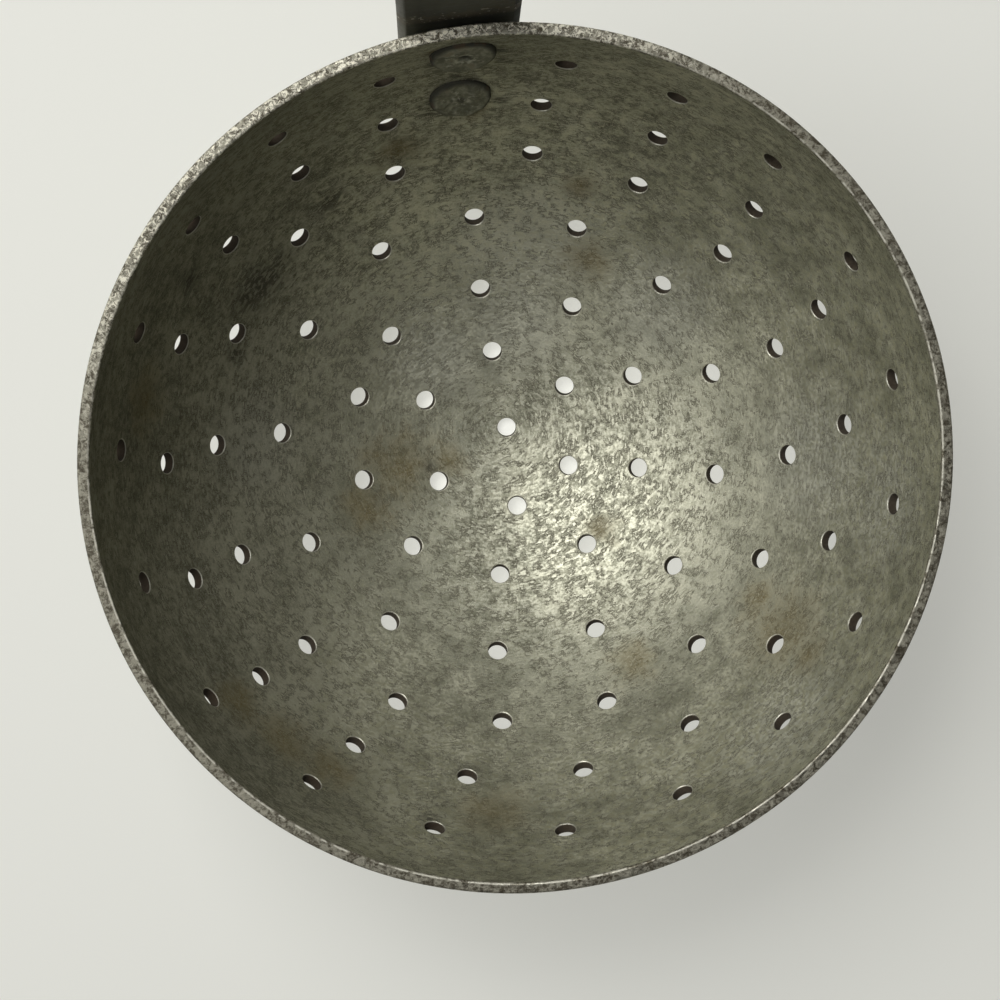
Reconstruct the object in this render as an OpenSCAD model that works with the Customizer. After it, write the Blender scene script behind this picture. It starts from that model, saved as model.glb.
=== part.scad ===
// Perforated ladle: a thick round bowl drilled in rings, with a strap handle
// held to its wall by two rivets. Millimetres, +Z up, the handle towards +Y.
// The origin is the lowest point of the bowl, on the axis that it was turned on.

/* [Bowl] */
// Diameter across the outside of the rim
bowl_d = 180; // [160:1:210]
// Thickness of the wall
wall = 2.5; // [2:0.1:3.5]
// Bevel worn along both edges of the flat rim
rim_bevel = 0.35; // [0.2:0.05:0.6]

/* [Perforations] */
// Diameter of every hole
hole_d = 4.8; // [3.5:0.1:5.2]
// Depth of the bevel at the inside mouth of each hole
hole_bevel = 0.25; // [0.1:0.05:0.4]

/* [Strap handle] */
// Width of the strap
strap_w = 25; // [20:0.5:26]
// Thickness of the strap, whose long edges are fully rounded
strap_t = 3; // [2:0.25:4]
// Straight length of the strap, from the wall to the middle of the hanging hole
shank_l = 320; // [200:5:380]
// Angle of the straight part above the plane of the rim
lean = 80; // [74:0.5:86]
// Diameter of the hanging hole
hang_d = 8; // [5:0.5:12]

/* [Rivets] */
// Diameter of the shanks
shank_d = 6; // [4:0.5:7]
// Diameter of the upper rivet's head
upper_head_d = 14; // [11:0.5:15]
// Height of the upper rivet's head
upper_head_h = 3; // [2:0.1:3.5]
// Diameter of the lower rivet's head
lower_head_d = 13.5; // [11:0.5:15]
// Height of the lower rivet's head before it was hammered flat
lower_head_h = 2.2; // [1.8:0.1:3]
// Diameter of the closed ends on the outside of the strap
tail_d = 11; // [9:0.5:13]
// Height of the closed ends
tail_h = 2; // [1:0.1:3]

/* [Hidden] */
$fn = 96;

outer_r = bowl_d / 2;
inner_r = outer_r - wall;

// The drilled rings. Polar angles are measured at the centre of the rim, up
// from the lowest point of the bowl, and azimuths from the handle, clockwise
// seen from above. Each ring was stepped round by eye from beside the handle:
// polar angle, azimuth of its first hole, then steps as [angle, times].
RINGS = [
    [1.4, 87, []],
    [12.9, 3, [[61, 2], [49, 1], [63, 2]]],
    [23.8, 0, [[37.5, 6], [33.5, 2], [27.5, 1]]],
    [36.9, 0.5, [[26.9, 7], [30, 3], [28, 2]]],
    [49.7, 13, [[21.9, 10], [22.7, 5]]],
    [61.3, 13, [[20.2, 14], [18.5, 1], [16.5, 2]]],
    [74.4, 15.2, [[16.8, 2], [18.7, 7], [19.9, 5], [17.4, 4]]]
];

// Polar angles of the two rivets, on the meridian of the handle
upper_rivet = 80.3;
lower_rivet = 64.5;
rivet_hole_d = shank_d + 0.1;

// The strap hugs the wall until it points along its lean, at the polar angle of
// that size, and runs straight on from there. It ends in a half circle about
// the hanging hole, and in another about the lower rivet, cut from a seat that
// reaches a few degrees below that rivet.
seat_gap = 0.02;
strap_r = outer_r + seat_gap;
end_r = strap_w / 2 + 0.1;
below_rivet = 12;
// The hammer left two flats on the lower head: tilt, direction, depth
HAMMER_FLATS = [[6, 20, 0.75], [-7, 60, 0.7]];

function total(list, n) = n <= 0 ? 0 : list[n - 1] + total(list, n - 1);
function steps(ring) = [for (run = ring[2]) for (i = [1:run[1]]) run[0]];
function azimuths(ring) =
    let (walk = steps(ring)) [for (i = [0:len(walk)]) ring[1] + total(walk, i)];

// Puts its children at the centre of the rim with +Z pointing out through the
// wall, at a polar angle and an azimuth
module radial(polar, azimuth = 0) {
    translate([0, 0, outer_r])
        rotate([0, 0, -azimuth]) rotate([polar + 180, 0, 0]) children();
}

// Puts its children at the centre of the rim with +Y pointing out through the
// wall below the handle and +Z running up the wall
module along_wall(polar) {
    translate([0, 0, outer_r]) rotate([polar - 90, 0, 0]) children();
}

// Half section of the bowl, with the centre of the rim at the origin
module bowl_section() {
    difference() {
        intersection() {
            circle(r = outer_r);
            translate([0, -outer_r]) square(outer_r);
        }
        circle(r = inner_r);
        translate([outer_r, 0]) circle(r = rim_bevel, $fn = 4);
        translate([inner_r, 0]) circle(r = rim_bevel, $fn = 4);
    }
}

// One hole through the wall, with its inside mouth bevelled
module perforation() {
    translate([0, 0, inner_r - 1]) cylinder(d = hole_d, h = wall + 2);
    translate([0, 0, inner_r - hole_bevel])
        cylinder(d1 = hole_d + 4 * hole_bevel, d2 = hole_d, h = 2 * hole_bevel);
}

module bowl() {
    color([0.55, 0.55, 0.50]) difference() {
        translate([0, 0, outer_r]) rotate_extrude() bowl_section();
        for (ring = RINGS) for (azimuth = azimuths(ring))
            radial(ring[0], azimuth) perforation();
        for (polar = [upper_rivet, lower_rivet])
            radial(polar) translate([0, 0, inner_r - 1])
                cylinder(d = rivet_hole_d, h = wall + 2);
    }
}

// Cross-section of the strap: its width along X, its thickness along Y
module strap_section() {
    square([strap_w - strap_t, strap_t], center = true);
    for (side = [-1, 1])
        translate([side * (strap_w - strap_t) / 2, 0]) circle(d = strap_t);
}

// What is cut away round the end of the strap, above Z = 0
module end_corners() {
    difference() {
        translate([-strap_w, -3 * strap_t, 0]) cube([2 * strap_w, 6 * strap_t, strap_w]);
        rotate([90, 0, 0]) cylinder(r = end_r, h = 7 * strap_t, center = true);
    }
}

// Puts its children in the middle of the strap, on the wall at a polar angle
module in_strap(polar) {
    along_wall(polar) translate([0, strap_r + strap_t / 2, 0]) children();
}

// The seat on the wall, and the straight part that carries on from it
module strap() {
    along_wall(lean) {
        rotate([-90, 0, 90]) rotate_extrude(angle = lean - lower_rivet + below_rivet)
            translate([strap_r + strap_t / 2, 0]) rotate(90) strap_section();
        translate([0, strap_r + strap_t / 2, 0])
            linear_extrude(height = shank_l + 0.8 * strap_w) strap_section();
    }
}

module handle() {
    color([0.16, 0.16, 0.14]) difference() {
        strap();
        in_strap(lower_rivet) rotate([180, 0, 0]) end_corners();
        in_strap(lean) translate([0, 0, shank_l]) {
            end_corners();
            rotate([90, 0, 0]) cylinder(d = hang_d, h = 2 * strap_t, center = true);
        }
        for (polar = [upper_rivet, lower_rivet])
            radial(polar) translate([0, 0, outer_r - 2])
                cylinder(d = rivet_hole_d, h = strap_t + 4);
    }
}

// A domed cap of a sphere on the plane Z = 0, rising to height h
module cap(d, h) {
    ball_r = (d * d / 4 + h * h) / (2 * h);
    intersection() {
        translate([0, 0, h - ball_r]) sphere(r = ball_r);
        cylinder(d = d + 1, h = h + 1);
    }
}

// Inside head, bedded on the hollow of the wall. Children are cut out of it,
// with the plane Z = 0 at its foot and +Z towards the middle of the bowl.
module head(d, h) {
    foot = sqrt(inner_r * inner_r - d * d / 4);
    intersection() {
        sphere(r = inner_r);
        union() {
            translate([0, 0, foot]) cylinder(d = d, h = 1);
            difference() {
                translate([0, 0, foot]) mirror([0, 0, 1]) cap(d, h);
                translate([0, 0, foot]) mirror([0, 0, 1]) children();
            }
        }
    }
}

// Closed end, bedded on the outside of the strap
module tail() {
    back_r = strap_r + strap_t;
    foot = sqrt(back_r * back_r - tail_d * tail_d / 4);
    difference() {
        translate([0, 0, foot]) cap(tail_d, tail_h);
        rotate([0, 90, 0]) cylinder(r = back_r, h = 2 * tail_d, center = true);
    }
}

module rivet(polar, head_d, head_h) {
    radial(polar) {
        head(head_d, head_h) children();
        translate([0, 0, inner_r - 0.5])
            cylinder(d = shank_d, h = wall + strap_t + seat_gap + 1);
        tail();
    }
}

// The upper head is neat: a dome with a flat top and a punched centre
module rivet_upper() {
    flat = 0.35;
    pit_d = 3;
    color([0.30, 0.30, 0.26]) rivet(upper_rivet, upper_head_d, upper_head_h) {
        translate([0, 0, upper_head_h - flat]) cylinder(d = upper_head_d, h = 1);
        translate([0, 0, upper_head_h - flat - 0.6])
            cylinder(d1 = 0.8, d2 = pit_d, h = 1);
    }
}

// The lower head was beaten nearly flat
module rivet_lower() {
    color([0.30, 0.30, 0.26]) rivet(lower_rivet, lower_head_d, lower_head_h)
        for (flat = HAMMER_FLATS)
            rotate([0, 0, flat[1]]) rotate([flat[0], 0, 0])
                translate([0, 0, lower_head_h - flat[2]])
                    cylinder(d = 2 * lower_head_d, h = 3);
}

bowl();
handle();
rivet_upper();
rivet_lower();
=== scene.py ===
"""Perforated ladle: a thick old aluminium bowl, turned and then drilled in rings, with a dark
strap handle held to its wall by two rivets.

Metres, in the part's own frame: the origin is the lowest point of the bowl, +Z runs up its
axis and out of its mouth, and the handle is towards +Y. The bowl is half a ball about the
centre of its rim, so polar angles are measured there, up from the lowest point, and azimuths
run from the handle, clockwise seen from above.
"""

from math import asin, cos, exp, pi, radians, sin, sqrt

import bpy
import numpy as np
from mathutils import Matrix, Vector


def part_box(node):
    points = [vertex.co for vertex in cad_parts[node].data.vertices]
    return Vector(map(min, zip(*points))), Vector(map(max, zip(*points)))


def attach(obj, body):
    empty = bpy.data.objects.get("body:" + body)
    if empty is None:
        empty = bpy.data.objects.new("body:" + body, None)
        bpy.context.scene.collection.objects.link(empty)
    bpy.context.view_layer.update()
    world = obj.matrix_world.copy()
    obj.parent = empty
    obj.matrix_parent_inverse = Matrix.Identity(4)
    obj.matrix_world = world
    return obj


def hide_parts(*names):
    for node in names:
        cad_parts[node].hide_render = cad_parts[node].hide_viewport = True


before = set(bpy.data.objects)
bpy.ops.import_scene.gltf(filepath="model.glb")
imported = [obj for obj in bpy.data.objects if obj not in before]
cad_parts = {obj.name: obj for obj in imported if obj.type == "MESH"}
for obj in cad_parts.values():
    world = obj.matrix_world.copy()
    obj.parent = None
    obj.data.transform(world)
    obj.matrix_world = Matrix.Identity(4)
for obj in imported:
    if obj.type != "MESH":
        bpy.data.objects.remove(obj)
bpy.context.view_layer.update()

MM = 0.001

# The bowl
OUTER_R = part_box("bowl")[1].x
WALL = 2.5 * MM
INNER_R = OUTER_R - WALL
RIM_CENTRE = Vector((0, 0, OUTER_R))
TURNS = 192
ARC_STEPS = 64

# The drilled rings, each stepped round from beside the handle: polar angle, azimuth of
# the first hole, then steps as [angle, times]
RINGS = [
    [1.4, 87, []],
    [12.9, 3, [[61, 2], [49, 1], [63, 2]]],
    [23.8, 0, [[37.5, 6], [33.5, 2], [27.5, 1]]],
    [36.9, 0.5, [[26.9, 7], [30, 3], [28, 2]]],
    [49.7, 13, [[21.9, 10], [22.7, 5]]],
    [61.3, 13, [[20.2, 14], [18.5, 1], [16.5, 2]]],
    [74.4, 15.2, [[16.8, 2], [18.7, 7], [19.9, 5], [17.4, 4]]],
]
HOLE_R = 2.3 * MM
HOLE_LIP = 0.42 * MM

# The strap
STRAP_W = 25 * MM
STRAP_T = 3 * MM
SHANK_L = 320 * MM
LEAN = radians(80)
HANG_R = 4 * MM
HANG_LIP = 0.35 * MM
BEVEL_W = 1.75 * MM
SEAT_R = OUTER_R + 0.02 * MM + STRAP_T / 2

# The rivets, on the meridian of the handle
UPPER_RIVET = radians(80.3)
LOWER_RIVET = radians(64.5)
RIVET_HOLE_R = 3.05 * MM
SHANK_D = 6 * MM
TAIL_D = 11 * MM
TAIL_H = 2 * MM

# The photograph's lens on a 36 mm frame
LENS_MM = 69.81
SENSOR_MM = 36.0

# Stains inside the bowl, where the photograph shows them: pixels, and a radius in millimetres
BROWN_STAINS = [
    (400, 466, 14), (366, 505, 11), (448, 460, 7), (602, 530, 6), (782, 630, 16), (757, 600, 9),
    (808, 655, 9), (635, 662, 9), (240, 702, 10), (282, 738, 12), (330, 768, 11), (494, 812, 12),
    (579, 188, 6), (400, 150, 8), (144, 400, 11), (587, 258, 9), (433, 52, 4), (475, 110, 5),
]
# Dark spots, given in the same way: real dark pits, and round the rivets painted shade at and under their
# heads
GRIME_AND_RIVET_SHADE = [
    (262, 282, 9), (246, 300, 6), (280, 262, 5), (430, 112, 4), (500, 100, 3), (436, 64, 4),
    (505, 60, 3), (468, 772, 4), (432, 822, 4), (442, 69, 3), (456, 76, 3), (470, 78, 2.5),
    (430, 104, 3), (442, 113, 3), (500, 50, 3),
    (429, 467, 2.5), (420, 107, 1.5), (236, 352, 4), (330, 200, 5), (190, 280, 5),
]

# Painted light: lighter patches on the wall where the highlight spreads, given in the same way
PAINTED_LIGHT_PATCHES = [
    (527, 240, 26), (512, 310, 20), (430, 350, 18), (660, 300, 20), (820, 459, 24), (790, 730, 24),
    (890, 500, 22), (250, 440, 18),
]

# Scratches inside the bowl, from pixel to pixel
SCRATCHES = [
    ((473, 576), (509, 609)),
    ((631, 633), (672, 624)),
    ((672, 624), (719, 605)),
    ((701, 756), (703, 799)),
    ((522, 290), (529, 312)),
]

# Light
LAMP_DISTANCE = 1.2
LEFT_TOWARDS = (-0.48, 0.25, 0.84)
LEFT_SIZE = 1.1
LEFT_POWER = 9.9
TOP_TOWARDS = (-0.20, 0.56, 0.80)
TOP_SIZE = 0.5
TOP_POWER = 6.4
ROOM_LIGHT = 0.03
FLOOR_GLOW = 0.34
# The floor glows more in the bowl's shadow, fully to the first radius and not beyond the second
SHADOW_GLOW = 0.60
SHADOW_CENTRE = (22 * MM, -26 * MM, 0)
SHADOW_R = (34 * MM, 98 * MM)
FLOOR_R = 6.0
FLOOR_WALL = 2.2


def outwards(polar, azimuth=0.0):
    """The direction from the centre of the rim out through the wall."""
    return Vector((sin(polar) * sin(azimuth), sin(polar) * cos(azimuth), -cos(polar)))


def make_camera():
    """The photograph looks down into the bowl from a little beside the handle. Gives the
    camera's place, and the directions to the right, up and back of its picture."""
    place = RIM_CENTRE + Vector((-18.3, 51.18, 393.76)) * MM
    aim = RIM_CENTRE + Vector((-4.92, -5.27, 0)) * MM
    roll = radians(-7.727)
    forward = (aim - place).normalized()
    level = forward.cross(Vector((0, 1, 0))).normalized()
    upright = level.cross(forward)
    across = cos(roll) * level + sin(roll) * upright
    up = across.cross(forward)
    lens = bpy.data.cameras.new("camera")
    lens.lens = LENS_MM
    lens.sensor_width = SENSOR_MM
    lens.clip_start = 0.01
    lens.clip_end = 100
    camera = bpy.data.objects.new("camera", lens)
    bpy.context.scene.collection.objects.link(camera)
    turn = Matrix((across, up, -forward)).transposed()
    camera.matrix_world = Matrix.Translation(place) @ turn.to_4x4()
    bpy.context.scene.camera = camera
    return place, turn


def on_wall(x, y):
    """The point inside the bowl that the photograph shows at a pixel of its 1000 x 1000. On
    the rim, it is the point level with the rim's centre."""
    pixel = SENSOR_MM / LENS_MM / 1000
    ray = (CAMERA_TURN @ Vector(((x - 500) * pixel, (500 - y) * pixel, -1))).normalized()
    start = CAMERA_PLACE - RIM_CENTRE
    near = start.dot(ray)
    reach = near * near - start.dot(start) + INNER_R * INNER_R
    far = -near + sqrt(reach) if reach > 0 else -start.z / ray.z
    return CAMERA_PLACE + far * ray


class Net:
    """Adds nodes to one tree. Inputs are given by place or by name, as values or sockets."""

    def __init__(self, tree):
        self.tree = tree

    def add(self, kind, inputs=(), **settings):
        node = self.tree.nodes.new(kind)
        for name, value in settings.items():
            setattr(node, name, value)
        given = inputs.items() if isinstance(inputs, dict) else enumerate(inputs)
        for key, value in given:
            if isinstance(value, bpy.types.NodeSocket):
                self.tree.links.new(value, node.inputs[key])
            elif value is not None:
                node.inputs[key].default_value = value
        return node

    def sum(self, operation, *values):
        """A sum on numbers, such as ADD or MULTIPLY."""
        return self.add("ShaderNodeMath", values, operation=operation).outputs[0]

    def vector(self, operation, *values):
        """A sum on vectors. LENGTH and DOT_PRODUCT give a number."""
        node = self.add("ShaderNodeVectorMath", values, operation=operation)
        return node.outputs["Value" if operation in ("LENGTH", "DOT_PRODUCT") else "Vector"]

    def scaled(self, vector, by):
        node = self.add("ShaderNodeVectorMath", {"Vector": vector, "Scale": by}, operation="SCALE")
        return node.outputs["Vector"]


def new_mesh(name, points, faces, normals=None, bore=None):
    """A smooth mesh. normals and bore, one for each point, go to its corners, so that a hole
    cut later keeps them."""
    mesh = bpy.data.meshes.new(name)
    mesh.from_pydata([tuple(p) for p in points], [], faces)
    mesh.update()
    corner_point = np.zeros(len(mesh.loops), int)
    mesh.loops.foreach_get("vertex_index", corner_point)
    if normals is not None:
        kept = mesh.attributes.new("lay", "FLOAT_VECTOR", "CORNER")
        flat = np.asarray(normals, dtype=np.float32)[corner_point].ravel()
        kept.data.foreach_set("vector", flat)
    kept = mesh.attributes.new("bore", "FLOAT", "CORNER")
    depth = np.zeros(len(points)) if bore is None else np.asarray(bore)
    kept.data.foreach_set("value", depth.astype(np.float32)[corner_point])
    piece = bpy.data.objects.new(name, mesh)
    bpy.context.scene.collection.objects.link(piece)
    return piece


def turned_faces(rows, turns):
    """Faces between rows of points turned about an axis. A row of one point closes a pole."""
    faces = []
    for low, high in zip(rows, rows[1:]):
        for i in range(turns):
            j = (i + 1) % turns
            if len(low) == 1:
                faces.append((low[0], high[j], high[i]))
            elif len(high) == 1:
                faces.append((low[i], low[j], high[0]))
            else:
                faces.append((low[i], low[j], high[j], high[i]))
    return faces


def bowl_profile(edge_r):
    """The half section of the wall, from the outside pole over the rim to the inside pole:
    radius and height from the centre of the rim, and the normal there."""
    edge_polar = [asin(sqrt(r * r - edge_r * edge_r) / r) for r in (OUTER_R, INNER_R)]
    section = []
    for i in range(ARC_STEPS + 1):
        polar = edge_polar[0] * i / ARC_STEPS
        section.append((OUTER_R * sin(polar), -OUTER_R * cos(polar), sin(polar), -cos(polar)))
    for i in range(1, 7):
        turn = pi / 2 * i / 6
        section.append(
            (OUTER_R - edge_r + edge_r * cos(turn), -edge_r + edge_r * sin(turn), cos(turn), sin(turn))
        )
    for i in range(6):
        turn = pi / 2 * i / 6
        section.append(
            (INNER_R + edge_r - edge_r * sin(turn), -edge_r + edge_r * cos(turn), -sin(turn), cos(turn))
        )
    for i in range(ARC_STEPS + 1):
        polar = edge_polar[1] * (1 - i / ARC_STEPS)
        section.append((INNER_R * sin(polar), -INNER_R * cos(polar), -sin(polar), cos(polar)))
    return section


def turn_bowl():
    """The bowl before it is drilled. The edges of its rim show more wear in some places."""
    points, normals = [], []
    rows = []
    length = len(bowl_profile(0.5 * MM))
    sections = []
    for i in range(TURNS):
        around = 2 * pi * i / TURNS
        wear = 0.50 + 0.10 * sin(3 * around + 1) + 0.07 * sin(7 * around) + 0.05 * sin(17 * around + 2)
        sections.append(bowl_profile(wear * MM))
    for k in range(length):
        if k in (0, length - 1):
            rows.append([len(points)])
            height = sections[0][k][1]
            points.append(RIM_CENTRE + Vector((0, 0, height)))
            normals.append((0, 0, -1 if k == 0 else 1))
            continue
        rows.append(list(range(len(points), len(points) + TURNS)))
        for i in range(TURNS):
            r, h, nr, nh = sections[i][k]
            c, s = cos(2 * pi * i / TURNS), sin(2 * pi * i / TURNS)
            points.append(RIM_CENTRE + Vector((r * c, r * s, h)))
            normals.append((nr * c, nr * s, nh))
    return new_mesh("bowl_blank", points, turned_faces(rows, TURNS), normals)


def turn_drill(name, radius, lip, depth, dish, sides):
    """What a drill takes out, from above the surface at height 0 down to a depth along +Z,
    with a lip rounded by wear at both mouths. dish is how far the surface curves away at the mouth. Its
    normals are those of the hole's wall."""
    over = 1.0 * MM
    first = radians(20)
    stages = []
    for i in range(5):
        turn = first + (pi / 2 - first) * i / 4
        stages.append((radius + lip * (1 - sin(turn)), lip * (1 - cos(turn)), turn if i else 0, i / 4))
    wide = stages[0][0] + 0.4 * MM
    profile = [(0, -over, 0, 0), (wide, -over, 0, 0)]
    profile += [(r, h - dish, turn, inside) for r, h, turn, inside in stages]
    profile += [(r, depth - h - dish, pi - turn, inside) for r, h, turn, inside in stages[::-1]]
    profile += [(wide, depth + over, pi, 0), (0, depth + over, pi, 0)]
    points, normals, bore, rows = [], [], [], []
    for r, h, turn, inside in profile:
        count = sides if r else 1
        rows.append(list(range(len(points), len(points) + count)))
        for i in range(count):
            c, s = cos(2 * pi * i / sides), sin(2 * pi * i / sides)
            points.append((r * c, r * s, h))
            normals.append((-sin(turn) * c, -sin(turn) * s, -cos(turn)))
            bore.append(inside)
    return new_mesh(name, points, turned_faces(rows, sides), normals, bore)


def drilling_tree():
    """Drills a wall at each point of a mesh, along the point's own direction. The cut keeps
    the normals that the wall and the drill bring, so the wall stays smooth round each hole."""
    tree = bpy.data.node_groups.new("drilled holes", "GeometryNodeTree")
    for name, kind in (
        ("Places", "NodeSocketGeometry"),
        ("Wall", "NodeSocketObject"),
        ("Drill", "NodeSocketObject"),
        ("Finish", "NodeSocketMaterial"),
    ):
        tree.interface.new_socket(name, in_out="INPUT", socket_type=kind)
    tree.interface.new_socket("Geometry", in_out="OUTPUT", socket_type="NodeSocketGeometry")
    net = Net(tree)
    given = net.add("NodeGroupInput").outputs
    wall = net.add("GeometryNodeObjectInfo", {"Object": given["Wall"]})
    drill = net.add("GeometryNodeObjectInfo", {"Object": given["Drill"]})
    along = net.add("GeometryNodeInputNamedAttribute", {"Name": "along"}, data_type="FLOAT_VECTOR")
    wide = net.add("GeometryNodeInputNamedAttribute", {"Name": "wide"}, data_type="FLOAT")
    aimed = net.add("FunctionNodeAlignRotationToVector", {"Vector": along.outputs[0]}, axis="Z")
    size = net.add("ShaderNodeCombineXYZ", [wide.outputs[0], wide.outputs[0], 1.0])
    drills = net.add(
        "GeometryNodeInstanceOnPoints",
        {
            "Points": given["Places"],
            "Instance": drill.outputs["Geometry"],
            "Rotation": aimed.outputs[0],
            "Scale": size.outputs[0],
        },
    )
    chips = net.add("GeometryNodeRealizeInstances", [drills.outputs[0]])
    lay = net.add("GeometryNodeInputNamedAttribute", {"Name": "lay"}, data_type="FLOAT_VECTOR")
    turned = net.add(
        "FunctionNodeRotateVector", {"Vector": lay.outputs[0], "Rotation": aimed.outputs[0]}
    )
    chips = net.add(
        "GeometryNodeStoreNamedAttribute",
        {"Geometry": chips.outputs[0], "Name": "lay", "Value": turned.outputs[0]},
        data_type="FLOAT_VECTOR",
        domain="CORNER",
    )
    cut = net.add(
        "GeometryNodeMeshBoolean",
        {"Mesh 1": wall.outputs["Geometry"], "Mesh 2": chips.outputs[0]},
        operation="DIFFERENCE",
        solver="EXACT",
    )
    smooth = net.add("GeometryNodeSetShadeSmooth", [cut.outputs["Mesh"]])
    shaded = net.add("GeometryNodeSetMeshNormal", mode="TANGENT_SPACE", domain="CORNER")
    tree.links.new(smooth.outputs[0], shaded.inputs["Mesh"])
    tree.links.new(lay.outputs[0], shaded.inputs["Custom Normal"])
    real = net.add("GeometryNodeRealizeInstances", [shaded.outputs[0]])
    finished = net.add(
        "GeometryNodeSetMaterial", {"Geometry": real.outputs[0], "Material": given["Finish"]}
    )
    net.add("NodeGroupOutput", [finished.outputs[0]])
    return tree


def give(modifier, tree, values):
    """Sets a tree's inputs by their sockets' identifiers, from their names."""
    for item in tree.interface.items_tree:
        if item.item_type == "SOCKET" and item.in_out == "INPUT" and item.name in values:
            modifier[item.identifier] = values[item.name]


def made_real(piece, name, scraps=()):
    """Turns a piece's evaluated shape into a plain mesh, and deletes what it was made from."""
    graph = bpy.context.evaluated_depsgraph_get()
    mesh = bpy.data.meshes.new_from_object(piece.evaluated_get(graph))
    for kept in ("lay", "along", "wide"):
        if kept in mesh.attributes:
            mesh.attributes.remove(mesh.attributes[kept])
    piece.modifiers.clear()
    for scrap in (piece, *scraps):
        bpy.data.objects.remove(scrap)
    mesh.name = name
    done = bpy.data.objects.new(name, mesh)
    bpy.context.scene.collection.objects.link(done)
    return done


def drilled(name, wall, drill, places, finish):
    """Drills a wall. places holds a point, a direction and a width for each hole, where a
    width of 1 is the drill's own."""
    mesh = bpy.data.meshes.new("places")
    mesh.from_pydata([tuple(point) for point, along, wide in places], [], [])
    along = mesh.attributes.new("along", "FLOAT_VECTOR", "POINT")
    along.data.foreach_set("vector", [c for point, along, wide in places for c in along])
    wide = mesh.attributes.new("wide", "FLOAT", "POINT")
    wide.data.foreach_set("value", [wide for point, along, wide in places])
    holes = bpy.data.objects.new("places", mesh)
    bpy.context.scene.collection.objects.link(holes)
    modifier = holes.modifiers.new("drilled holes", "NODES")
    modifier.node_group = DRILLED
    give(modifier, DRILLED, {"Wall": wall, "Drill": drill, "Finish": finish})
    return made_real(holes, name, (wall, drill))


def ring_places():
    """Where the drain holes start on the inside of the wall, from the rule for each ring."""
    places = []
    for polar, azimuth, runs in RINGS:
        steps = [0] + [angle for angle, times in runs for i in range(times)]
        for step in steps:
            azimuth += step
            out = outwards(radians(polar), radians(azimuth))
            places.append((RIM_CENTRE + INNER_R * out, out, 1.0))
    return places


def make_bowl(finish):
    places = ring_places()
    for polar in (UPPER_RIVET, LOWER_RIVET):
        out = outwards(polar)
        places.append((RIM_CENTRE + INNER_R * out, out, RIVET_HOLE_R / HOLE_R))
    drill = turn_drill("drill", HOLE_R, HOLE_LIP, WALL, 0.04 * MM, 36)
    bowl = drilled("bowl_drilled", turn_bowl(), drill, places, finish)
    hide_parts("bowl")
    return bowl


def strap_frame(s):
    """The middle of the strap at a length s above the lower rivet, its direction upwards, and
    its direction away from the bowl."""
    bend = (LEAN - LOWER_RIVET) * SEAT_R
    polar = LOWER_RIVET + min(s, bend) / SEAT_R
    out = outwards(polar)
    up = Vector((0, cos(polar), sin(polar)))
    return RIM_CENTRE + SEAT_R * out + max(s - bend, 0) * up, up, out


def forge_strap():
    """The strap as loops round its outline, each drawn in further, over both faces to a line
    down the middle. The long edges and the ends are rounded off by wear to a bevel. The width
    wanders a little, as forged, and is fullest on one side of the rivets."""
    length = (LEAN - LOWER_RIVET) * SEAT_R + SHANK_L
    edge_r = STRAP_T / 2
    stations, end_steps, edge_steps = 116, 28, 8
    spots = [(k, 0.0) for k in range(stations)]
    spots += [(stations, pi * i / end_steps) for i in range(end_steps + 1)]
    spots += [(k, pi) for k in range(stations - 1, 0, -1)]
    spots += [(0, pi + pi * i / end_steps) for i in range(end_steps)]
    section = []
    for i in range(edge_steps + 1):
        c, s = max(cos(pi / 2 * i / edge_steps), 0.0), sin(pi / 2 * i / edge_steps)
        section.append((BEVEL_W * (1 - c ** 1.6), edge_r * s**1.6, c**0.4 / BEVEL_W, s**0.4 / edge_r))
    section += [(drawn_in * MM, edge_r, 0.0, 1.0) for drawn_in in (2.6, 4.5, 7, 9.5, 11.5)]
    section = [(d, -lift, aside, -rise) for d, lift, aside, rise in section[:0:-1]] + section
    places = [strap_frame(length * k / stations) for k in range(stations + 1)]
    thin = [0.98 - 0.02 * sin(length * k / stations / (31 * MM)) for k in range(stations + 1)]
    points, normals, faces = [], [], []
    for drawn_in, lift, aside, rise in section:
        for k, turn in spots:
            s = length * k / stations
            wander = 0.05 + 0.05 * sin(s / (23 * MM)) + 0.05 * sin(s / (9 * MM) + 2 * cos(turn))
            wander -= 0.2 * (1 - cos(turn)) * exp(-((s / (75 * MM)) ** 2))
            reach = (STRAP_W / 2 - drawn_in) * (1 - wander * MM / (STRAP_W / 2))
            middle, up, out = places[k]
            side = sin(turn) * up - cos(turn) * Vector((1, 0, 0))
            points.append(middle + reach * side + lift * thin[k] * out)
            normals.append((aside * side + rise * out).normalized())
    count = len(spots)
    for k in range(len(section) - 1):
        for i in range(count):
            j = (i + 1) % count
            low, high = k * count, (k + 1) * count
            faces.append((low + i, low + j, high + j, high + i))
    for loop, face in ((0, -1), ((len(section) - 1) * count, 1)):
        line = len(points)
        for k, (middle, up, out) in enumerate(places):
            points.append(middle + face * edge_r * thin[k] * out)
            normals.append(face * out)
        for i in range(count):
            j = (i + 1) % count
            ring = [loop + i, loop + j, line + spots[j][0]]
            if spots[i][0] != spots[j][0]:
                ring.append(line + spots[i][0])
            faces.append(ring if face > 0 else ring[::-1])
    return new_mesh("strap", points, faces, normals)


def make_handle(finish):
    middle, up, out = strap_frame((LEAN - LOWER_RIVET) * SEAT_R + SHANK_L)
    start = middle - STRAP_T / 2 * out
    drill = turn_drill("drill", HANG_R, HANG_LIP, STRAP_T, 0, 48)
    handle = drilled("handle_forged", forge_strap(), drill, [(start, out, 1.0)], finish)
    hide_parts("handle")
    return handle


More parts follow.
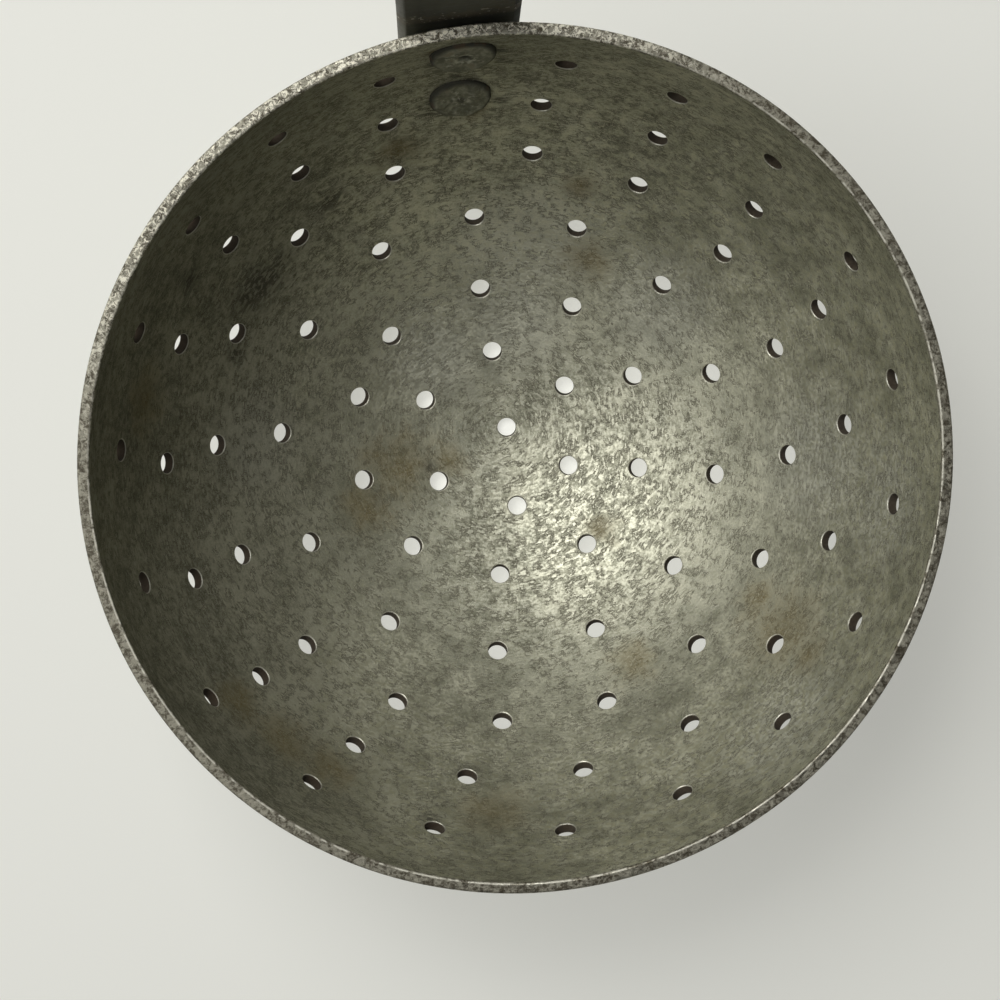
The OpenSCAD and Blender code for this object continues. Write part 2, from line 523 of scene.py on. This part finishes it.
def rivet_end(
    net, ball, width, height, full, flat, tilt, punch, hammering, raggedness, bed_r, seed
):
    """Nodes that press a ball of radius 1 into the end of a rivet, on a wall at height 0 that
    is curved by bed_r, with its middle at the origin. Leaves how far each point is from the
    middle in the attribute "edge"."""
    at = net.add("GeometryNodeInputPosition").outputs[0]
    part = net.add("ShaderNodeSeparateXYZ", [at])
    flat_at = net.add("ShaderNodeCombineXYZ", [part.outputs[0], part.outputs[1], 0.0]).outputs[0]
    from_middle = net.vector("LENGTH", flat_at)
    direction = net.vector("NORMALIZE", flat_at)
    shift = net.add("ShaderNodeCombineXYZ", [seed, seed, seed]).outputs[0]

    ring = net.add("ShaderNodeTexNoise", {"Vector": net.vector("ADD", direction, shift), "Scale": 1.7})
    uneven = net.sum("MULTIPLY", net.sum("SUBTRACT", ring.outputs[0], 0.5), raggedness)
    reach = net.sum("MULTIPLY", net.sum("ADD", uneven, 1.0), net.sum("MULTIPLY", width, 0.5))

    dome = net.sum("POWER", net.sum("MAXIMUM", part.outputs[2], 0.0), full)
    rise = net.sum("MULTIPLY", dome, height)
    rise = net.sum("SMOOTH_MIN", rise, net.sum("SUBTRACT", height, flat), 0.25 * MM)
    lean = net.sum("SUBTRACT", 1.0, net.sum("MULTIPLY", part.outputs[1], tilt))
    rise = net.sum("MULTIPLY", rise, lean)
    hollow = net.add("ShaderNodeMapRange", [from_middle, 0.06, 0.24, 1.0, 0.0])
    hollow.interpolation_type = "SMOOTHSTEP"
    rise = net.sum("SUBTRACT", rise, net.sum("MULTIPLY", hollow.outputs[0], punch))
    blows = net.add(
        "ShaderNodeTexVoronoi", {"Vector": net.vector("ADD", flat_at, shift), "Scale": 1.9}
    )
    blow = net.sum("POWER", blows.outputs[0], 2.0)
    fine = net.add("ShaderNodeTexNoise", {"Vector": net.vector("ADD", flat_at, shift), "Scale": 6.0})
    blow = net.sum("ADD", blow, net.sum("MULTIPLY", fine.outputs[0], 0.35))
    blow = net.sum("MULTIPLY", net.sum("SUBTRACT", blow, 0.45), hammering)
    rise = net.sum("ADD", rise, net.sum("MULTIPLY", blow, dome))
    sunk = net.sum("MULTIPLY", net.sum("MINIMUM", part.outputs[2], 0.0), 0.5 * MM)
    rise = net.sum("ADD", rise, sunk)

    spread = net.scaled(flat_at, reach)
    radius = net.vector("LENGTH", spread)
    bed = net.sum("DIVIDE", net.sum("MULTIPLY", radius, radius), 2 * bed_r)
    lifted = net.add("ShaderNodeCombineXYZ", [0.0, 0.0, net.sum("ADD", rise, bed)]).outputs[0]
    pressed = net.add(
        "GeometryNodeSetPosition", {"Geometry": ball, "Position": net.vector("ADD", spread, lifted)}
    )
    kept = net.add(
        "GeometryNodeStoreNamedAttribute",
        {"Geometry": ball, "Name": "edge", "Value": from_middle},
        data_type="FLOAT",
        domain="POINT",
    )
    net.tree.links.new(kept.outputs[0], pressed.inputs["Geometry"])
    return pressed.outputs[0]


def rivet_tree():
    """One rivet along Z, with its head on the wall at height 0 and facing up, and its closed
    end on the back of the strap, facing down."""
    tree = bpy.data.node_groups.new("rivet", "GeometryNodeTree")
    for name, kind in (
        ("Head width", "Float"),
        ("Head height", "Float"),
        ("Head offset", "Float"),
        ("Thinness of edge", "Float"),
        ("Flat", "Float"),
        ("Tilt", "Float"),
        ("Punch", "Float"),
        ("Hammering", "Float"),
        ("Raggedness", "Float"),
        ("Tail width", "Float"),
        ("Tail height", "Float"),
        ("Shank width", "Float"),
        ("Seed", "Float"),
        ("Finish", "Material"),
    ):
        tree.interface.new_socket(name, in_out="INPUT", socket_type="NodeSocket" + kind)
    tree.interface.new_socket("Geometry", in_out="OUTPUT", socket_type="NodeSocketGeometry")
    net = Net(tree)
    given = net.add("NodeGroupInput").outputs
    ball = net.add("GeometryNodeMeshUVSphere", [72, 40, 1.0]).outputs["Mesh"]
    grip = SEAT_R + STRAP_T / 2 - INNER_R

    head = rivet_end(
        net, ball, given["Head width"], given["Head height"], given["Thinness of edge"],
        given["Flat"], given["Tilt"], given["Punch"], given["Hammering"], given["Raggedness"],
        INNER_R, given["Seed"],
    )
    aside = net.add("ShaderNodeCombineXYZ", [given["Head offset"], 0.0, 0.0]).outputs[0]
    head = net.add("GeometryNodeTransform", {"Geometry": head, "Translation": aside}).outputs[0]
    tail = rivet_end(
        net, ball, given["Tail width"], given["Tail height"], 1.2, 0.1 * MM, 0.0, 0.0,
        0.25 * MM, 0.10, -10 * OUTER_R, net.sum("ADD", given["Seed"], 5.0),
    )
    tail = net.add(
        "GeometryNodeTransform",
        {"Geometry": tail, "Translation": (0, 0, -grip), "Rotation": (pi, 0, 0)},
    )
    shank = net.add("GeometryNodeMeshCylinder", {"Vertices": 32, "Depth": grip + 0.5 * MM})
    net.tree.links.new(
        net.sum("MULTIPLY", given["Shank width"], 0.5), shank.inputs["Radius"]
    )
    shank = net.add(
        "GeometryNodeTransform",
        {"Geometry": shank.outputs["Mesh"], "Translation": (0, 0, -grip / 2)},
    )
    joined = net.add("GeometryNodeJoinGeometry", [head])
    for piece in (tail, shank):
        net.tree.links.new(piece.outputs[0], joined.inputs[0])
    whole = net.add("GeometryNodeMeshBoolean", operation="UNION", solver="EXACT")
    net.tree.links.new(joined.outputs[0], whole.inputs["Mesh 2"])
    smooth = net.add("GeometryNodeSetShadeSmooth", [whole.outputs["Mesh"]])
    real = net.add("GeometryNodeRealizeInstances", [smooth.outputs[0]])
    finished = net.add(
        "GeometryNodeSetMaterial", {"Geometry": real.outputs[0], "Material": given["Finish"]}
    )
    net.add("NodeGroupOutput", [finished.outputs[0]])
    return tree


def make_rivet(name, node, polar, tree, finish, sizes):
    out = outwards(polar)
    toward = -out
    across = Vector((1, 0, 0))
    turn = Matrix((across, toward.cross(across), toward)).transposed().to_4x4()
    blank = bpy.data.objects.new(name + "_blank", bpy.data.meshes.new(name + "_blank"))
    bpy.context.scene.collection.objects.link(blank)
    modifier = blank.modifiers.new("rivet", "NODES")
    modifier.node_group = tree
    give(modifier, tree, {**sizes, "Finish": finish})
    rivet = made_real(blank, name)
    rivet.data.transform(Matrix.Translation(RIM_CENTRE + INNER_R * out) @ turn)
    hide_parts(node)
    return rivet


def new_finish(name):
    """An empty material with its output, and a net for its nodes."""
    finish = bpy.data.materials.new(name)
    finish.use_nodes = True
    finish.node_tree.nodes.clear()
    return finish, Net(finish.node_tree)


def noise(net, where, size, detail=2.0, roughness=0.5, crinkle=0.0):
    """Cloudy noise from 0 to 1, about 0.5, with lumps of a size in metres. crinkle folds it."""
    settings = {"Vector": where, "Scale": 1 / size, "Detail": detail, "Roughness": roughness}
    return net.add("ShaderNodeTexNoise", {**settings, "Distortion": crinkle}).outputs[0]


def graded(net, value, low, high, to_low=0.0, to_high=1.0):
    """A smooth step from to_low to to_high as value goes from low to high."""
    node = net.add("ShaderNodeMapRange", [value, low, high, to_low, to_high])
    node.interpolation_type = "SMOOTHSTEP"
    return node.outputs[0]


def mixed(net, share, first, second):
    """A colour between two, by share."""
    node = net.add("ShaderNodeMix", data_type="RGBA")
    for key, value in ((0, share), (6, first), (7, second)):
        if isinstance(value, bpy.types.NodeSocket):
            net.tree.links.new(value, node.inputs[key])
        else:
            node.inputs[key].default_value = (*value, 1.0) if key else value
    return node.outputs[2]


def spots(net, where, places, uneven, sharp=0.25):
    """Ragged spots: 1 inside, 0 outside. places holds a point and a radius for each."""
    worth = None
    for place, radius in places:
        distance = net.add("ShaderNodeVectorMath", [where, tuple(place)], operation="DISTANCE")
        inside = net.sum("MULTIPLY_ADD", distance.outputs["Value"], -1 / radius, 1.0)
        worth = inside if worth is None else net.sum("MAXIMUM", worth, inside)
    worth = net.sum("ADD", worth, uneven)
    return graded(net, worth, 0.0, sharp)


def scratches(net, where, lines, width):
    """Straight thin scratches: 1 on them, 0 beside. lines holds the two ends of each."""
    marked = None
    for start, end in lines:
        run = end - start
        offset = net.vector("SUBTRACT", where, tuple(start))
        along = net.vector("DOT_PRODUCT", offset, tuple(run.normalized()))
        along = net.sum("MINIMUM", net.sum("MAXIMUM", along, 0.0), run.length)
        nearest = net.scaled(tuple(run.normalized()), along)
        aside = net.vector("LENGTH", net.vector("SUBTRACT", offset, nearest))
        line = graded(net, aside, width, 0.3 * width)
        marked = line if marked is None else net.sum("MAXIMUM", marked, line)
    return marked


def cast_aluminium():
    """Old turned aluminium: olive grey, speckled, with streaks from turning and brown stains
    round some of the holes. The bores are grimy and darkened with painted shade. Painted shade
    darkens the wall towards -X and round the rivet heads, painted light brightens a few patches,
    and the rim has a painted sheen on the handle's side and a painted highlight along its inner edge."""
    finish, net = new_finish("cast_aluminium")
    where = net.add("ShaderNodeTexCoord").outputs["Object"]
    from_centre = net.vector("SUBTRACT", where, tuple(RIM_CENTRE))
    turning = net.vector("NORMALIZE", net.vector("CROSS_PRODUCT", (0, 0, 1), from_centre))
    worm = None
    for k in (-1, 0, 1):
        beside = net.vector("ADD", where, net.scaled(turning, 0.40 * k * MM))
        sample = noise(net, beside, 0.74 * MM, 3.0, 0.6, 0.45)
        worm = sample if worm is None else net.sum("ADD", worm, sample)
    worm = net.sum("MULTIPLY", worm, 1 / 3)
    speckle = noise(net, where, 0.6 * MM, 4.0, 0.7, 0.5)
    broken = noise(net, where, 2.4 * MM, 3.0)
    along = net.sum("ABSOLUTE", net.sum("SUBTRACT", worm, 0.5))
    crease = net.sum("MULTIPLY", graded(net, along, 0.044, 0.013), graded(net, broken, 0.44, 0.54))
    pit = graded(net, net.sum("ADD", worm, net.sum("MULTIPLY", broken, 0.5)), 0.60, 0.53)
    cloud = noise(net, where, 6 * MM, 5.0, 0.68)
    broad = noise(net, where, 30 * MM, 2.0)

    tone = net.sum("ADD", net.sum("MULTIPLY", speckle, 0.45), net.sum("MULTIPLY", worm, 0.35))
    tone = net.sum("ADD", tone, net.sum("MULTIPLY", cloud, 0.7))
    tone = graded(net, net.sum("ADD", tone, net.sum("MULTIPLY", broad, 0.5)), 0.76, 1.21)
    colour = mixed(net, tone, (0.200, 0.200, 0.140), (0.57, 0.56, 0.43))
    fleck = net.sum("ADD", net.sum("MULTIPLY", speckle, 0.5), net.sum("MULTIPLY", worm, 0.5))
    fleck = graded(net, fleck, 0.45, 0.54)
    colour = mixed(net, net.sum("MULTIPLY", fleck, 0.26), colour, (0.68, 0.67, 0.56))
    # Painted light: lighter patches on the wall
    painted_light_patch = spots(net, where, [(on_wall(x, y), r * MM) for x, y, r in PAINTED_LIGHT_PATCHES], 0.0, 0.8)
    colour = mixed(net, net.sum("MULTIPLY", painted_light_patch, 0.4), colour, (0.66, 0.655, 0.56))
    marks = net.sum("MAXIMUM", net.sum("MULTIPLY", crease, 0.7), net.sum("MULTIPLY", pit, 0.75))
    outside = graded(net, net.vector("LENGTH", from_centre), INNER_R + WALL / 4, OUTER_R - WALL / 4)
    marks = net.sum("MULTIPLY", marks, graded(net, outside, 0.0, 1.0, 1.0, 0.4))
    colour = mixed(net, marks, colour, (0.075, 0.066, 0.042))
    # Painted shade: the wall grows darker towards -X, with ragged edges from the cloud noise
    shaded = net.vector("DOT_PRODUCT", from_centre, (-0.98 / INNER_R, 0.10 / INNER_R, 0.0))
    shaded = net.sum("ADD", shaded, net.sum("MULTIPLY", net.sum("SUBTRACT", cloud, 0.5), 0.9))
    painted_side_shade = graded(net, shaded, 0.15, 0.75)
    colour = mixed(net, net.sum("MULTIPLY", painted_side_shade, 0.46), colour, (0.075, 0.070, 0.045))

    ragged = net.sum("MULTIPLY", net.sum("SUBTRACT", cloud, 0.5), 1.6)
    ragged = net.sum("ADD", ragged, net.sum("MULTIPLY", net.sum("SUBTRACT", speckle, 0.5), 1.6))
    brown = spots(net, where, [(on_wall(x, y), r * MM) for x, y, r in BROWN_STAINS], ragged, 1.0)
    # Dark spots: real pits, and painted shade round the rivet heads
    grime_and_shade = spots(net, where, [(on_wall(x, y), r * MM) for x, y, r in GRIME_AND_RIVET_SHADE], ragged, 0.9)
    grime_and_shade = net.sum("MULTIPLY", grime_and_shade, graded(net, worm, 0.54, 0.46, 0.30, 0.80))
    stain = net.sum("MULTIPLY", brown, graded(net, speckle, 0.62, 0.38, 0.42, 0.85))
    colour = mixed(net, stain, colour, (0.175, 0.138, 0.055))
    colour = mixed(net, grime_and_shade, colour, (0.045, 0.042, 0.030))
    lines = [(on_wall(*start), on_wall(*end)) for start, end in SCRATCHES]
    scratch = scratches(net, where, lines, 0.16 * MM)
    colour = mixed(net, net.sum("MULTIPLY", scratch, 0.5), colour, (0.72, 0.70, 0.60))

    height = net.add("ShaderNodeSeparateXYZ", [where]).outputs["Z"]
    edge = net.sum("MULTIPLY_ADD", net.sum("SUBTRACT", speckle, 0.5), 1.2 * MM, height)
    rim = graded(net, edge, OUTER_R - 0.7 * MM, OUTER_R - 0.3 * MM)
    # Painted sheen: bright flakes crowd the rim on the side towards the handle, so it is lighter there
    painted_sheen_side = net.vector("DOT_PRODUCT", from_centre, (-0.34, 0.94, 0))
    painted_sheen_side = graded(net, painted_sheen_side, 0.30 * OUTER_R, OUTER_R)
    rim_spot = noise(net, where, 1.4 * MM, 5.0, 0.75, 0.5)
    rim_colour = graded(net, rim_spot, 0.43, 0.57)
    rim_colour = mixed(net, rim_colour, (0.090, 0.078, 0.052), (0.31, 0.295, 0.23))
    flakes_and_painted_sheen = graded(net, noise(net, where, 1.0 * MM, 5.0, 0.75, 0.8), 0.49, 0.57)
    flakes_and_painted_sheen = net.sum("MULTIPLY", flakes_and_painted_sheen, graded(net, painted_sheen_side, 0.0, 1.0, 0.15, 1.0))
    rim_colour = mixed(net, flakes_and_painted_sheen, rim_colour, (0.76, 0.73, 0.60))
    # A pale line along the rim's inner edge, partly wear and partly painted highlight, strongest away from
    # the handle's side
    across = net.vector("LENGTH", net.vector("MULTIPLY", from_centre, (1, 1, 0)))
    wear_and_painted_highlight = graded(net, net.sum("ABSOLUTE", net.sum("SUBTRACT", across, INNER_R + 0.3 * MM)), 0.3 * MM, 0.0)
    wear_and_painted_highlight = net.sum("MULTIPLY", wear_and_painted_highlight, graded(net, broken, 0.42, 0.52))
    wear_and_painted_highlight = net.sum("MULTIPLY", wear_and_painted_highlight, graded(net, painted_sheen_side, 0.0, 0.3, 0.8, 0.3))
    rim_colour = mixed(net, wear_and_painted_highlight, rim_colour, (0.80, 0.78, 0.66))
    colour = mixed(net, rim, colour, rim_colour)

    bore = net.add("ShaderNodeAttribute", attribute_name="bore").outputs["Fac"]
    lip = net.sum("MULTIPLY", graded(net, bore, 0.02, 0.2), graded(net, bore, 0.75, 0.4))
    colour = mixed(net, net.sum("MULTIPLY", lip, 0.7), colour, (0.72, 0.70, 0.60))
    # The bores go near black: grimy, and with painted shade inside the holes
    deep = graded(net, bore, 0.45, 0.85)
    colour = mixed(net, net.sum("MULTIPLY", deep, 0.95), colour, (0.035, 0.022, 0.011))

    # Stains, dark marks and the painted shade take the shine off the metal
    dirt_and_painted_shade = net.sum("MAXIMUM", net.sum("MAXIMUM", brown, grime_and_shade), painted_side_shade)
    dirt_and_painted_shade = net.sum("MAXIMUM", net.sum("MULTIPLY", dirt_and_painted_shade, 0.6), net.sum("MAXIMUM", marks, deep))
    bright = net.sum("MULTIPLY", net.sum("MAXIMUM", fleck, lip), net.sum("SUBTRACT", 1.0, dirt_and_painted_shade))
    metal = graded(net, bright, 0.0, 1.0, 0.45, 0.95)
    metal = net.sum("MULTIPLY", metal, net.sum("SUBTRACT", 1.0, deep))
    rough = graded(net, bright, 0.0, 1.0, 0.66, 0.45)
    rough = net.sum("MULTIPLY_ADD", deep, 0.3, rough)
    relief = net.sum("ADD", net.sum("MULTIPLY", speckle, 0.5), net.sum("MULTIPLY", worm, 0.5))
    relief = net.sum("ADD", relief, net.sum("MULTIPLY", cloud, 0.9))
    relief = net.sum("SUBTRACT", relief, net.sum("MULTIPLY", crease, 0.2))
    bump = net.add("ShaderNodeBump", {"Strength": 1.0, "Distance": 0.13 * MM, "Height": relief})
    shader = net.add(
        "ShaderNodeBsdfPrincipled",
        {"Base Color": colour, "Metallic": metal, "Roughness": rough, "Normal": bump.outputs[0]},
    )
    net.add("ShaderNodeOutputMaterial", [shader.outputs[0]])
    return finish


def strap_iron():
    """Dark forged strap: nearly black with an olive cast. Its long edge towards -X is paler,
    partly wear and partly painted highlight, its edge towards +X has painted shade, and just
    above the rim it is lighter, partly crusted and partly painted light.
    """
    finish, net = new_finish("strap_iron")
    where = net.add("ShaderNodeTexCoord").outputs["Object"]
    part = net.add("ShaderNodeSeparateXYZ", [where])
    speckle = noise(net, where, 1.6 * MM, 4.0, 0.65)
    cloud = noise(net, where, 14 * MM, 3.0)
    tone = graded(net, net.sum("ADD", speckle, cloud), 0.75, 1.3)
    colour = mixed(net, tone, (0.040, 0.040, 0.030), (0.110, 0.110, 0.085))
    rust = graded(net, net.sum("ADD", cloud, net.sum("MULTIPLY", speckle, 0.6)), 0.92, 1.08)
    colour = mixed(net, net.sum("MULTIPLY", rust, 0.35), colour, (0.11, 0.07, 0.035))
    # The long edge towards -X is paler, partly wear and partly painted highlight
    beside = net.sum("MULTIPLY", part.outputs["X"], -1.0)
    wear_and_painted_highlight = net.sum("MULTIPLY_ADD", net.sum("SUBTRACT", speckle, 0.5), 0.4 * MM, beside)
    wear_and_painted_highlight = graded(net, wear_and_painted_highlight, 10.9 * MM, 11.15 * MM)
    colour = mixed(net, net.sum("MULTIPLY", wear_and_painted_highlight, 0.35), colour, (0.24, 0.235, 0.21))
    # Painted shade: the long edge towards +X is darkened
    painted_edge_shade = graded(net, part.outputs["X"], 10.6 * MM, 11.3 * MM)
    colour = mixed(net, net.sum("MULTIPLY", painted_edge_shade, 0.8), colour, (0.018, 0.017, 0.013))
    # Lighter just above the rim: a crusted band, and painted light that lifts the shade where the strap
    # meets the bowl
    above_rim = net.sum("SUBTRACT", part.outputs["Z"], OUTER_R)
    crust_and_painted_light_band = graded(net, above_rim, 8.0 * MM, 0.0)
    crust_and_painted_light_band = net.sum("ADD", crust_and_painted_light_band, net.sum("MULTIPLY", net.sum("SUBTRACT", speckle, 0.5), 2.2))
    beyond = graded(net, above_rim, -1.0 * MM, 0.5 * MM)
    crust_and_painted_light = net.sum("MULTIPLY", graded(net, crust_and_painted_light_band, 0.45, 0.75, 0.0, 0.6), beyond)
    colour = mixed(net, crust_and_painted_light, colour, (0.15, 0.125, 0.085))
    specks = graded(net, noise(net, where, 0.9 * MM, 2.0), 0.63, 0.68)
    specks = net.sum("MULTIPLY", specks, graded(net, above_rim, 6.0 * MM, 3.0 * MM))
    specks = net.sum("MULTIPLY", specks, beyond)
    colour = mixed(net, specks, colour, (0.55, 0.53, 0.44))
    rough = graded(net, speckle, 0.3, 0.7, 0.42, 0.62)
    rough = net.sum("MULTIPLY_ADD", painted_edge_shade, 0.35, rough)
    metal = net.sum("MULTIPLY_ADD", painted_edge_shade, -0.25, 0.3)
    relief = net.sum("ADD", net.sum("MULTIPLY", speckle, 0.6), cloud)
    bump = net.add("ShaderNodeBump", {"Strength": 1.0, "Distance": 0.12 * MM, "Height": relief})
    shader = net.add(
        "ShaderNodeBsdfPrincipled",
        {"Base Color": colour, "Metallic": metal, "Roughness": rough, "Normal": bump.outputs[0]},
    )
    net.add("ShaderNodeOutputMaterial", [shader.outputs[0]])
    return finish


def rivet_iron():
    """Dull rivet metal, darker at the foot of each end, grimy and with painted shade in the
    crevice, with painted shade in the punched pit and painted glints, partly wear, on the heads.
    """
    finish, net = new_finish("rivet_iron")
    where = net.add("ShaderNodeTexCoord").outputs["Object"]
    speckle = noise(net, where, 1.0 * MM, 4.0, 0.65)
    cloud = noise(net, where, 4 * MM, 3.0)
    tone = graded(net, net.sum("ADD", speckle, cloud), 0.75, 1.3)
    colour = mixed(net, tone, (0.125, 0.125, 0.088), (0.35, 0.35, 0.27))
    edge = net.add("ShaderNodeAttribute", attribute_name="edge").outputs["Fac"]
    # Darker at the foot of each end: grimy, and with painted shade in the crevice against the wall and
    # strap
    foot = net.sum("ADD", edge, net.sum("MULTIPLY", net.sum("SUBTRACT", cloud, 0.5), 0.25))
    foot = graded(net, foot, 0.80, 1.0)
    colour = mixed(net, net.sum("MULTIPLY", foot, 0.9), colour, (0.032, 0.030, 0.021))
    # Painted shade inside the punched pit
    punched = graded(net, edge, 0.20, 0.08)
    colour = mixed(net, net.sum("MULTIPLY", punched, 0.8), colour, (0.03, 0.028, 0.02))
    # Painted glints, partly wear: pale specks on the heads and a ring round the punched pit
    wear_and_painted_highlight = graded(net, noise(net, where, 2.2 * MM, 2.0), 0.56, 0.62)
    wear_and_painted_highlight = net.sum("MULTIPLY", wear_and_painted_highlight, graded(net, speckle, 0.50, 0.60))
    wear_and_painted_highlight = net.sum("MULTIPLY", wear_and_painted_highlight, graded(net, edge, 0.75, 0.55))
    lip = net.sum("MULTIPLY", graded(net, edge, 0.18, 0.25), graded(net, edge, 0.36, 0.27))
    wear_and_painted_highlight = net.sum("MAXIMUM", wear_and_painted_highlight, net.sum("MULTIPLY", lip, graded(net, speckle, 0.46, 0.56)))
    colour = mixed(net, net.sum("MULTIPLY", wear_and_painted_highlight, 0.6), colour, (0.62, 0.61, 0.51))
    rust = graded(net, cloud, 0.56, 0.70)
    colour = mixed(net, net.sum("MULTIPLY", rust, 0.45), colour, (0.15, 0.09, 0.045))
    metal = graded(net, foot, 0.0, 1.0, 0.5, 0.0)
    rough = graded(net, speckle, 0.3, 0.7, 0.36, 0.58)
    rough = net.sum("MULTIPLY_ADD", foot, 0.4, rough)
    bump = net.add("ShaderNodeBump", {"Strength": 1.0, "Distance": 0.15 * MM, "Height": speckle})
    shader = net.add(
        "ShaderNodeBsdfPrincipled",
        {"Base Color": colour, "Metallic": metal, "Roughness": rough, "Normal": bump.outputs[0]},
    )
    net.add("ShaderNodeOutputMaterial", [shader.outputs[0]])
    return finish


def make_floor():
    """A pale round floor under the bowl, with a low wall far off. Part of it glows for the
    camera, in the metal and through the drain holes, and the rest takes the light and keeps
    the ladle's shadow. The glow is stronger in the bowl's shadow: painted light that lifts it."""
    sides = 96
    turns = [2 * pi * i / sides for i in range(sides)]
    rings = [[(FLOOR_R * cos(t), FLOOR_R * sin(t), z) for t in turns] for z in (0, FLOOR_WALL)]
    ring = list(range(sides))
    wall = [(i, i + sides, (i + 1) % sides + sides, (i + 1) % sides) for i in ring]
    mesh = bpy.data.meshes.new("floor")
    mesh.from_pydata(rings[0] + rings[1], [], [ring, *wall])
    floor = bpy.data.objects.new("floor", mesh)
    bpy.context.scene.collection.objects.link(floor)
    finish, net = new_finish("floor")
    seen = net.add("ShaderNodeLightPath").outputs
    looked_at = net.sum("MAXIMUM", seen["Is Camera Ray"], seen["Is Glossy Ray"])
    looked_at = net.sum("MAXIMUM", looked_at, seen["Is Transmission Ray"])
    where = net.add("ShaderNodeTexCoord").outputs["Object"]
    shadow = net.vector("LENGTH", net.vector("SUBTRACT", where, SHADOW_CENTRE))
    glow = graded(net, shadow, *SHADOW_R, SHADOW_GLOW, FLOOR_GLOW)
    glow = net.sum("MULTIPLY", looked_at, glow)
    lit = net.add("ShaderNodeBsdfDiffuse", {"Color": (0.50, 0.50, 0.462, 1)})
    glowing = net.add("ShaderNodeEmission", {"Color": (1.0, 1.0, 0.93, 1), "Strength": glow})
    both = net.add("ShaderNodeAddShader", [lit.outputs[0], glowing.outputs[0]])
    net.add("ShaderNodeOutputMaterial", [both.outputs[0]])
    mesh.materials.append(finish)


def make_lamp(name, towards, size, power):
    lamp = bpy.data.lights.new(name, "AREA")
    lamp.size = size
    lamp.energy = power
    holder = bpy.data.objects.new(name, lamp)
    bpy.context.scene.collection.objects.link(holder)
    towards = Vector(towards).normalized()
    turn = towards.to_track_quat("Z", "Y").to_matrix().to_4x4()
    holder.matrix_world = Matrix.Translation(RIM_CENTRE + LAMP_DISTANCE * towards) @ turn


def make_light():
    """Two soft lamps, from the left and the top of the picture, in a dim grey room."""
    make_lamp("lamp_left", LEFT_TOWARDS, LEFT_SIZE, LEFT_POWER)
    make_lamp("lamp_top", TOP_TOWARDS, TOP_SIZE, TOP_POWER)
    world = bpy.data.worlds.new("room")
    world.use_nodes = True
    world.node_tree.nodes["Background"].inputs["Color"].default_value = (0.97, 0.98, 1.0, 1)
    world.node_tree.nodes["Background"].inputs["Strength"].default_value = ROOM_LIGHT
    bpy.context.scene.world = world
    bpy.context.scene.view_settings.view_transform = "Standard"


CAMERA_PLACE, CAMERA_TURN = make_camera()
DRILLED = drilling_tree()
RIVET = rivet_tree()

bowl = make_bowl(cast_aluminium())
handle = make_handle(strap_iron())
rivet_finish = rivet_iron()
tail = {"Tail width": TAIL_D, "Tail height": TAIL_H, "Shank width": SHANK_D}
rivet_upper = make_rivet(
    "rivet_upper_domed", "rivet_upper", UPPER_RIVET, RIVET, rivet_finish,
    {**tail, "Head width": 14 * MM, "Head height": 2.3 * MM, "Head offset": 0.4 * MM,
     "Thinness of edge": 0.5, "Flat": 0.6 * MM, "Tilt": 0.65, "Punch": 0.8 * MM,
     "Hammering": 0.3 * MM, "Raggedness": 0.08, "Seed": 3.0},
)
rivet_lower = make_rivet(
    "rivet_lower_beaten", "rivet_lower", LOWER_RIVET, RIVET, rivet_finish,
    {**tail, "Head width": 13.8 * MM, "Head height": 1.7 * MM, "Head offset": -0.4 * MM,
     "Thinness of edge": 0.5, "Flat": 0.5 * MM, "Tilt": 0.3, "Punch": 0.0,
     "Hammering": 1.3 * MM, "Raggedness": 0.16, "Seed": 8.0},
)
for piece in (bowl, handle, rivet_upper, rivet_lower):
    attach(piece, "root")

make_floor()
make_light()
